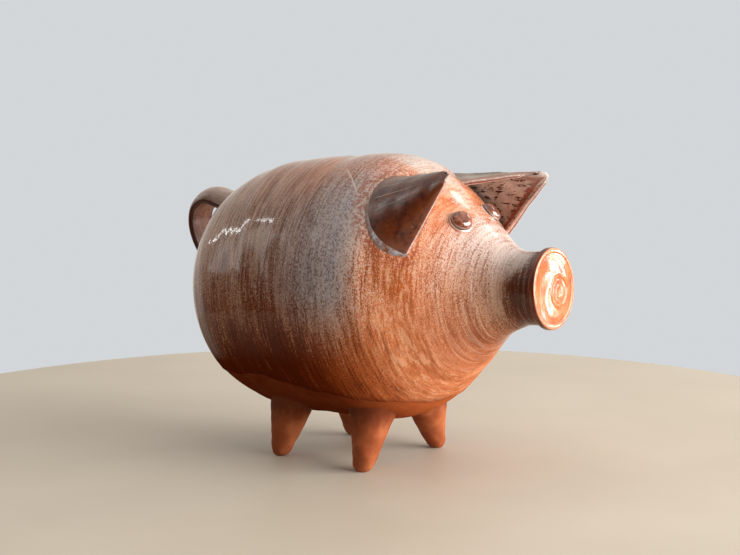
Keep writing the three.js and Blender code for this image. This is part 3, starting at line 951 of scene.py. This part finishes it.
def clay_colour(g):
    grain = g.noise(0.6, 4.0, 0.7)
    cloud = g.noise(14, 3.0, 0.55, shift=3.0)
    speck = g.noise(1.1, 1.0, 0.5, shift=9.0)
    colour = g.mix(cloud.step(0.35, 0.68), (144, 72, 40), (172, 98, 60))
    colour = g.tint(colour, (200, 134, 100), 0.3, grain.step(0.5, 0.75))
    return g.tint(colour, (120, 62, 42), 0.5, speck.step(0.66, 0.74))


def glaze_material():
    """Iron glaze over the barrel and head: a pale veil broken by rust, combed round the trunk's axis by
    the throwing, thick and blue-grey beside the ears, thin and orange on the shoulder of the head."""
    g = new_graph("rust_glaze")
    x, y, z = g.axes()
    grain = g.noise((0.75, 1.15, 1.15), shift=7.0)
    streak = g.noise((1.5, 26, 26), 3.0, shift=2.0, distortion=0.1)
    broad = g.noise((9, 38, 38), 3.0, shift=1.0)
    patch = g.noise(34, 2.0, 0.5, shift=15.0)

    # The veil, thickest on top and beside the ears.
    crown_cosine = z / g.length(y, z)
    crown = crown_cosine.step(0.1, 0.85)
    veil = along(x - crown * 14, [
        (-144, 0.46), (-100, 0.48), (-60, 0.48), (-38, 0.46), (-16, 0.62), (0, 0.92), (18, 1.0), (32, 0.55),
        (46, 0.32), (56, 0.38), (68, 0.52), (78, 0.64), (92, 0.78), (102, 1.0), (106, 0.95), (111, 0.45),
        (115, 0.0)])
    veil = veil * up(z, [
        (-90, 0.08), (-64, 0.16), (-43, 0.30), (-20, 0.52), (5, 0.72), (29, 0.9), (50, 1.0), (64, 0.84),
        (78, 0.55), (92, 0.30)])
    bare = up(z, [(-52, 0.10), (-34, 0.045), (-12, 0.01), (8, 0.0)])
    bare = bare * along(x, [(-10, 1.0), (26, 0.3), (50, 0.15)])
    mixed = grain * 0.48 + streak * 0.32 + broad * 0.20 + veil * 0.30 + patch * 0.12 - bare
    pale = mixed.step(0.60, 0.79)

    # The rust under it.
    rust = along(x, [
        (-144, (146, 76, 38)), (-60, (132, 64, 28)), (-20, (136, 66, 32)), (20, (178, 98, 52)),
        (40, (198, 108, 54)), (58, (198, 106, 56)), (75, (184, 100, 60)), (92, (162, 90, 58)),
        (104, (150, 82, 52)), (112, (110, 52, 28)), (119, (92, 40, 20))])
    top = up(z, [(60, 0.0), (86, 1.0)]) * along(x, [(-80, 0.35), (-10, 1.0), (70, 1.0)])
    rust = g.tint(rust, (212, 126, 74), 0.75, top)
    # Darker low down towards the rear and the belly: partly the glaze's own colour, partly painted shade
    # under the body.
    low = along(x, [
        (-144, (78, 25, 5)), (-30, (86, 28, 6)), (-8, (112, 42, 12)), (10, (146, 68, 30)),
        (30, (180, 94, 52)), (48, (200, 122, 82)), (78, (188, 116, 82)), (98, (150, 82, 52)),
        (108, (112, 50, 24)), (116, (88, 34, 12))])
    rust = g.mix(up(z, [(-72, 1.0), (-44, 0.9), (-24, 0.6), (6, 0.0)]), rust, low)
    tone = streak * 0.45 + broad * 0.3 + grain * 0.25
    rust = g.tint(rust, (78, 32, 14), x.step(30, 64, 0.65, 0.36), tone.step(0.54, 0.40))
    rust = g.tint(rust, (222, 144, 92), 0.40, tone.step(0.54, 0.70))

    # The veil's own colour, and the two together.
    haze = along(x, [
        (-144, (200, 162, 130)), (-70, (192, 154, 126)), (-34, (178, 152, 136)), (-4, (168, 160, 162)),
        (18, (178, 174, 178)), (36, (220, 192, 172)), (60, (224, 180, 150)), (90, (208, 164, 138)),
        (112, (196, 160, 138))])
    # Paler on top of the head: partly the veil's own colour, partly a painted highlight of light falling from
    # above.
    haze = g.tint(haze, (228, 218, 214), 0.75, crown, x.step(62, 84))
    haze = g.tint(haze, (228, 212, 200), 0.4, g.noise((3, 20, 20), 2.0, 0.5, shift=14.0).step(0.4, 0.7))
    haze = g.mix(up(z, [(-48, 1.0), (-26, 0.8), (4, 0.0)]), haze, (206, 150, 110))
    colour = g.mix(pale * 0.84, rust, haze)

    # Local marks: a shade laid over a region, where a noise lies past a level. The pale line along the very
    # top is partly pale glaze and partly a painted reflection of the bright room.
    crest_with_painted_reflection = crown_cosine.step(0.965, 0.995) * x.step(0, 26) * x.step(74, 56)
    combed = g.noise((0.8, 44, 44), shift=37.0)
    upper_rear = x.step(30, -20) * z.step(10, 48)
    warm = g.noise((9, 11, 11), 3.0, shift=47.0, distortion=0.5)
    brow = x.step(44, 58) * x.step(86, 74) * crown_cosine.step(0.55, 0.85)
    speck = g.noise((0.8, 1.3, 1.3), shift=21.0)
    dapple = g.noise((1.3, 2.0, 2.0), 2.0, 0.65, shift=53.0)
    pool = x.step(-28, -6) * x.step(34, 18) * z.step(-44, 6)
    ring = g.noise((0.7, 40, 40), shift=23.0)
    front = x.step(58, 75)
    blot = g.noise((2.2, 13, 13), 3.0, 0.62, shift=29.0)
    shoulder = x.step(36, 46) * x.step(74, 62)
    for noise, low_level, high_level, region, strength, shade in (
        # The pale crest: partly pale glaze, partly painted reflection.
        (mixed, 0.50, 0.70, crest_with_painted_reflection, 0.7, (214, 202, 194)),
        (combed, 0.46, 0.36, upper_rear, 0.55, (104, 54, 30)),
        (combed, 0.55, 0.64, upper_rear, 0.45, (222, 196, 172)),
        (warm, 0.56, 0.42, brow, 0.55, (206, 122, 78)),
        (speck, 0.60, 0.67, x.step(40, 70, 0.8, 0.35), 1.0, (72, 32, 20)),
        (dapple, 0.48, 0.38, pool, 0.6, (96, 60, 48)),
        (dapple, 0.54, 0.64, pool, 0.4, (196, 194, 200)),
        (ring, 0.56, 0.64, front, 0.20, (150, 84, 56)),
        (ring, 0.46, 0.38, front, 0.15, (236, 216, 200)),
        (blot, 0.50, 0.62, shoulder, 0.36, (236, 186, 148)),
        (blot, 0.46, 0.36, shoulder, 0.40, (158, 72, 30)),
    ):
        colour = g.tint(colour, shade, strength, noise.step(low_level, high_level), region)
    scratch = abs(x + (y + SCRATCH_RIGHT) * SCRATCH_SLANT + blot * 1.6).step(1.2, 0.4)
    colour = g.tint(
        colour, (226, 206, 192), 0.7, scratch, y.step(-42, -45), y.step(-66, -61), z.step(40, 50))
    broken = g.noise((2.2, 2.6, 2.6), shift=27.0).step(0.42, 0.56)
    colour = g.tint(colour, (150, 72, 46), 0.75, g.attribute("ear_join").step(13, 5), broken)

    # The edge of the glaze, and the clay below it, darker than the legs' clay towards the rear: partly darker
    # clay, partly painted shade under the belly.
    line = g.attribute("glaze_line")
    edge = line.step(6.0, 0.8) * line.step(-0.5, 0.3)
    colour = g.tint(colour, (78, 28, 12), x.step(0, 40, 0.6, 0.35), edge)
    glazed = line.step(-0.35, 0.35)
    shaded_belly_clay = along(x, [(-20, (84, 26, 6)), (6, (116, 46, 18)), (30, (168, 86, 46)), (60, (184, 98, 56))])
    colour = g.mix(glazed, g.mix(0.8, clay_colour(g), shaded_belly_clay), colour)
    shading = g.noise(0.7, 3.0, 0.7, shift=41.0).ramp([(0.3, 0.2), (0.7, 0.8)])
    colour = g.mix(0.6, colour, shading, "SOFT_LIGHT")

    ridge = g.noise((1.6, 90, 90), 2.0, 0.5, shift=31.0)
    peel = g.noise(1.8, 2.0, 0.5, shift=33.0)
    ridge_depth = x.step(-40, 30, 0.35, 0.8) * x.step(44, 70, 1.0, 0.6)
    height = ridge * ridge_depth + peel * 0.18 + grain * 0.05
    rough = grain * 0.07 + pale * 0.05 + x.step(-40, 30, 0.04, 0.08)
    rough = g.mix(glazed, grain * 0.1 + 0.78, rough)
    # The photo's dark table shows in the belly's gloss. The pale floor doesn't, so the gloss fades there.
    gloss = z.step(-50, 24, 0.0, 0.5)
    return g.finish(colour, rough, height, 0.00025, 0.5, GLAZE_IOR, gloss)


def snout_material():
    g = new_graph("snout_glaze")
    x, y, z = g.axes()
    out = g.length(y, z)
    from_seal = g.length(y - SEAL_OFF, z + SEAL_DROP)
    turned = g.out(g.node("ShaderNodeCombineXYZ", X=out, Y=y * 0.06, Z=z * 0.06))
    rings = g.noise((1.5, 1, 1), 3.0, where=turned)
    cloud = g.noise(9, 3.0, 0.55, shift=4.0)
    colour = (rings * 0.4 + cloud * 0.6).ramp([
        (0.36, (164, 76, 30)), (0.48, (184, 98, 48)), (0.60, (198, 122, 74)), (0.72, (210, 154, 114))])
    seal = from_seal.step(SEAL_RADIUS - 0.4, SEAL_RADIUS - 2.2)
    broken = g.noise((4, 1.6, 1.6), shift=6.0).step(0.44, 0.60)
    colour = g.tint(colour, (176, 100, 62), 0.35, seal, broken)
    dark = g.noise((0.9, 14, 14), 2.0, 0.5, shift=8.0).ramp([(0.4, (84, 36, 20)), (0.65, (138, 72, 46))])
    colour = g.mix(x.step(FACE - 0.30, FACE - 0.65), colour, dark)
    # A pale line round the rim of the face: a painted edge highlight.
    rim = out.step(SNOUT_RADIUS - 2.2, SNOUT_RADIUS - 1.3) * x.step(FACE - 0.5, FACE - 0.2)
    colour = g.tint(colour, (240, 200, 180), 0.18, rim)
    speck = g.noise(0.8, shift=21.0)
    colour = g.tint(colour, (120, 56, 34), 0.5, speck.step(0.64, 0.70))
    height = rings * 0.25 + g.noise(4, 2.0, 0.5) * 0.9
    return g.finish(colour, rings * 0.05 + 0.085, height, 0.00015, 0.25, GLAZE_IOR)


def ear_material():
    """Dark red-brown outside under a pale veil on its upper half, pinkish grey inside with dark broken
    marks, and a rim where the glaze has run in layers."""
    g = new_graph("ear_glaze")
    edge, inside, reach, turn = map(g.attribute, ("edge", "inside", "reach", "turn"))
    cloud = g.noise(8, 3.0, 0.55, shift=6.0)
    mottle = g.noise(2.2, 3.0, shift=9.0)
    fine = g.noise(0.8, shift=19.0)

    dark = (cloud * 0.5 + mottle * 0.35 + fine * 0.15).ramp([
        (0.36, (54, 20, 9)), (0.46, (84, 36, 20)), (0.56, (118, 58, 34)), (0.68, (156, 90, 60))])
    glow = g.noise(11, 2.0, 0.5, shift=26.0).step(0.38, 0.58)
    dark = g.tint(dark, (146, 72, 34), 0.7, turn.step(0.1, 1.2), glow)
    veil = (cloud * 0.5 + mottle * 0.5).step(0.38, 0.56)
    dark = g.tint(dark, (146, 134, 120), 0.5, turn.step(-0.1, -1.25), veil)
    dark = g.tint(dark, (188, 184, 174), 0.7, turn.step(-1.1, -1.5))
    dark = g.tint(dark, (128, 108, 98), 0.35, reach.step(0.14, 0.0))
    # Three thin pale lines over the outside: painted reflections of a narrow bright window.
    wander = turn + g.noise(30, 1.0, 0.4, shift=17.0) * 0.10 - 0.05
    part = reach.step(0.06, 0.14) * reach.step(0.66, 0.5)
    for reflection_at, wide, strength in ((-0.30, 0.018, 0.4), (0.03, 0.016, 0.6), (0.34, 0.013, 0.4)):
        line = abs(wander - reflection_at).step(wide, wide * 0.4)
        dark = g.tint(dark, (200, 182, 166), strength, line, part)
    dark = g.tint(dark, (150, 80, 54), 0.5, edge.step(3.2, 2.4))

    marks = g.noise((6.0, 2.4, 2.4), 3.0, shift=12.0, distortion=0.6)
    pink = cloud.ramp([(0.35, (178, 164, 156)), (0.6, (206, 194, 186)), (0.75, (222, 210, 202))])
    pink = g.tint(pink, (78, 34, 22), 1.0, marks.step(0.54, 0.59), reach.step(0.9, 0.72))
    pink = g.tint(pink, (50, 20, 12), 0.9, reach.step(0.30, 0.08))
    rust = mottle.ramp([(0.4, (108, 42, 22)), (0.65, (166, 84, 50))])
    ragged = edge + g.noise(3.0, shift=33.0) * 5.0 - 2.5
    ragged = ragged.step(7.6, 5.8) * edge.step(2.8, 3.6)
    pink = g.mix(ragged * turn.step(-0.6, 0.8, 0.5, 0.9), pink, rust)

    band = mottle.ramp([(0.4, (184, 158, 148)), (0.65, (222, 202, 192))])
    pale = mottle.ramp([(0.4, (206, 176, 164)), (0.65, (236, 216, 206))])
    rim = g.mix(inside.step(0.44, 0.52), band, pale)
    rim = g.tint(rim, (118, 46, 32), 0.85, inside.step(0.24, 0.34), inside.step(0.56, 0.46))
    colour = g.mix(inside.step(0.86, 0.98), rim, pink)
    colour = g.mix(inside.step(0.12, 0.02), colour, dark)
    rough = cloud * 0.08 + inside.step(0.1, 0.0, 0.08, 0.20)
    return g.finish(colour, rough, mottle * 0.2 + cloud * 0.8, 0.0004, 0.5)


def coil_material():
    g = new_graph("coil_glaze")
    cloud = g.noise(5, 3.0)
    grain = g.noise(0.9, shift=5.0)
    colour = (cloud * 0.75 + grain * 0.25).ramp([
        (0.36, (120, 74, 54)), (0.47, (140, 118, 110)), (0.58, (158, 154, 158)), (0.72, (190, 190, 194))])
    speck = g.noise(1.6, shift=21.0)
    colour = g.tint(colour, (140, 72, 46), 0.75, speck.step(0.57, 0.63))
    return g.finish(colour, grain * 0.08 + 0.09, cloud, 0.0003, 0.5, GLAZE_IOR)


def eye_material():
    """A dark glossy pellet in a pale ring, with a crease between the two that is painted dark as shade."""
    g = new_graph("eye_glaze")
    middle, rise = map(g.attribute, ("from_middle", "rise"))
    cloud = g.noise(3.2, 3.0)
    grain = g.noise(0.8, shift=4.0)
    dark = (cloud * 0.7 + grain * 0.3).ramp([
        (0.36, (78, 34, 20)), (0.5, (122, 64, 42)), (0.66, (166, 104, 74))])
    ring = cloud.ramp([(0.35, (200, 166, 152)), (0.6, (234, 214, 204))])
    colour = g.mix(middle.step(EYE_PELLET - 0.3, EYE_PELLET + 0.3), dark, ring)
    colour = g.mix(middle.step(EYE_RIM - 0.1, EYE_RIM + 0.4), colour, (196, 116, 74))
    # Painted shade in the crease round the foot of the pellet.
    colour = g.tint(colour, (48, 18, 12), 0.9, rise.step(2.2, 1.2), middle.step(EYE_PELLET + 0.7, EYE_PELLET))
    return g.finish(colour, grain * 0.04 + 0.03, cloud, 0.0002, 0.3, ior=1.9)


def tail_material():
    """Lilac-grey outside and warmer inside, with dark edges."""
    g = new_graph("tail_glaze")
    edge, inside = map(g.attribute, ("edge", "inside"))
    cloud = g.noise((14, 5, 14), 3.0)
    grain = g.noise(0.8, 3.0, 0.65, shift=2.0)
    lilac = (cloud * 0.7 + grain * 0.3).ramp([
        (0.36, (140, 102, 84)), (0.47, (168, 140, 126)), (0.6, (184, 166, 158)), (0.74, (206, 192, 184))])
    inner = (cloud * 0.6 + grain * 0.4).ramp([
        (0.38, (132, 76, 56)), (0.52, (172, 116, 92)), (0.66, (200, 152, 128))])
    colour = g.mix(inside.step(0.4, 0.6), lilac, inner)
    colour = g.tint(colour, (80, 32, 18), 0.92, edge.step(1.0, 0.2))
    speck = g.noise(1.0, shift=21.0)
    colour = g.tint(colour, (92, 44, 32), 0.7, speck.step(0.62, 0.69))
    rough = grain * 0.08 + inside.step(0.4, 0.6, 0.10, 0.32)
    return g.finish(colour, rough, cloud + grain * 0.2, 0.0004, 0.4, GLAZE_IOR)


def clay_material():
    """Bare clay with finger marks, darker where the legs meet the belly: partly a smear of glaze, partly
    painted shade under the belly.
    """
    g = new_graph("bare_clay")
    z = g.axes()[2]
    smear_and_shade = g.noise((5, 5, 9), 3.0, shift=16.0)
    colour = g.tint(clay_colour(g), (92, 38, 16), 0.85, (z + smear_and_shade * 14).step(-94, -76))
    fingers = g.noise((7, 7, 3.2), 2.0, 0.5, shift=8.0)
    grit = g.noise(0.5, 3.0, 0.7, shift=3.0)
    height = fingers * 0.8 + grit * 0.18
    return g.finish(colour, grit * 0.15 + 0.68, height, 0.0006, 0.6, specular=0.12)


def cork_material():
    g = new_graph("cork")
    cells = g.out(g.node("ShaderNodeTexVoronoi", {"feature": "F1"}, Vector=g.where, Scale=0.9), "Distance")
    blot = g.noise(2.6, 4.0, 0.65)
    colour = (blot * 0.8 + cells * 0.2).ramp([
        (0.34, (92, 58, 34)), (0.46, (160, 116, 74)), (0.6, (196, 152, 104)), (0.74, (214, 176, 130))])
    vein = g.noise((2.0, 2.0, 7.0), shift=5.0)
    colour = g.tint(colour, (74, 44, 26), 0.8, vein.step(0.62, 0.68))
    return g.finish(colour, blot * 0.1 + 0.8, blot + vein.step(0.68, 0.60) * 0.8, 0.0006, 0.7)


# ---- floor, lights, camera

FLOOR_RADIUS = 0.47


def make_floor():
    mesh = bpy.data.meshes.new("floor")
    work = bmesh.new()
    bmesh.ops.create_circle(work, cap_ends=True, segments=256, radius=FLOOR_RADIUS)
    work.to_mesh(mesh)
    work.free()
    g = new_graph("floor")
    spot = g.out(g.node("ShaderNodeTexCoord"), "Object")
    cloud = g.out(g.node("ShaderNodeTexNoise", Vector=spot, Scale=6.0, Detail=6.0))
    colour = cloud.ramp([(0.3, (190, 179, 163)), (0.7, (198, 188, 172))])
    mesh.materials.append(g.finish(colour, 0.55))
    floor = add_object("floor", mesh)


# Each light's name, direction from the pig's middle, distance, width, height, watts, colour, and turn
# about its own line of sight in degrees. The small ones give the glaze its window reflections.
LIGHTS = (
    ("window", (0.95, 0.25, 0.22), 1.9, 2.1, 1.3, 84, (1.0, 0.97, 0.93), 0),
    ("side_window", (0.566, 0.815, -0.066), 2.078, 0.085, 0.22, 1.45, (1.0, 0.98, 0.95), 0),
    ("side_window_head", (0.520, 0.854, 0.022), 2.066, 0.22, 0.10, 1.6, (1.0, 0.98, 0.95), 0),
    ("back_window", (0.16, 0.80, 0.58), 2.2, 0.5, 0.4, 3.2, (1.0, 0.99, 0.98), 0),
    ("far_window", (-0.82, -0.44, 0.34), 2.4, 0.8, 1.2, 3.2, (1.0, 1.0, 1.0), 0),
    ("far_window_head", (-0.858, -0.212, 0.467), 2.45, 1.02, 0.036, 2.2, (1.0, 1.0, 1.0), 60.7),
)


def make_lights():
    middle = Vector(CENTRE)
    for name, direction, distance, width, height, watts, colour, turn in LIGHTS:
        light = bpy.data.lights.new(name, "AREA")
        light.shape = "RECTANGLE"
        light.size = width
        light.size_y = height
        light.energy = watts
        light.color = colour
        lamp = add_object(name, light)
        lamp.location = middle + Vector(direction).normalized() * distance
        facing = (middle - lamp.location).to_track_quat("-Z", "Y")
        lamp.rotation_euler = (facing @ Quaternion((0, 0, 1), math.radians(turn))).to_euler()


BRIGHT_SIDE = (-0.28, 0.68, 0.68)


def make_world():
    """A pale room: plain to the eye, and in what it sheds brighter on the window side than on the other."""
    g = Graph(bpy.data.worlds.new("room"))
    facing = g.node("ShaderNodeVectorMath", {"operation": "DOT_PRODUCT"})
    g.put(facing.inputs[0], g.out(g.node("ShaderNodeTexCoord"), "Generated"))
    facing.inputs[1].default_value = BRIGHT_SIDE
    shed = g.out(facing, "Value").step(-0.45, 0.65, 0.09, 1.15)
    seen = g.out(g.node("ShaderNodeLightPath"), "Is Camera Ray")
    strength = g.node("ShaderNodeMix", {"data_type": "FLOAT"})
    for key, value in ((0, seen), (2, shed), (3, 0.98)):
        g.put(strength.inputs[key], value)
    background = g.tree.nodes["Background"]
    g.put(background.inputs["Color"], g.mix(seen, (219, 214, 207), (213, 216, 219)))
    g.put(background.inputs["Strength"], g.out(strength))
    bpy.context.scene.world = g.owner


CAMERA_FROM_CENTRE = Vector((0.6130, -0.8455, 0.1298))
VIEW_DIRECTION = Vector((-0.59519, 0.79491, -0.11772))
LENS = 70.73


def make_camera():
    data = bpy.data.cameras.new("camera")
    data.sensor_width = 36.0
    data.lens = LENS
    camera = add_object("camera", data)
    camera.location = Vector(CENTRE) + CAMERA_FROM_CENTRE
    camera.rotation_euler = VIEW_DIRECTION.to_track_quat("-Z", "Y").to_euler()
    bpy.context.scene.camera = camera
    bpy.context.scene.view_settings.view_transform = "Standard"


# ---- the pig

make_camera()
make_lights()
make_world()
make_floor()

body_glaze = glaze_material()
ear_glaze = ear_material()
coil_glaze = coil_material()
eye_glaze = eye_material()
clay = clay_material()

make_barrel(body_glaze)
make_head(body_glaze)
make_snout(snout_material())
for hand, side in (("right", -1), ("left", 1)):
    make_ear(f"{hand}_ear", side, ear_glaze)
    make_ear_coil(f"{hand}_ear_coil", side, coil_glaze)
    make_eye(f"{hand}_eye", eye_glaze)
make_tail(tail_material())
for seed, leg in enumerate(("front_right_leg", "front_left_leg", "rear_right_leg", "rear_left_leg"), 1):
    make_leg(leg, clay, float(seed))
make_stopper(cork_material())
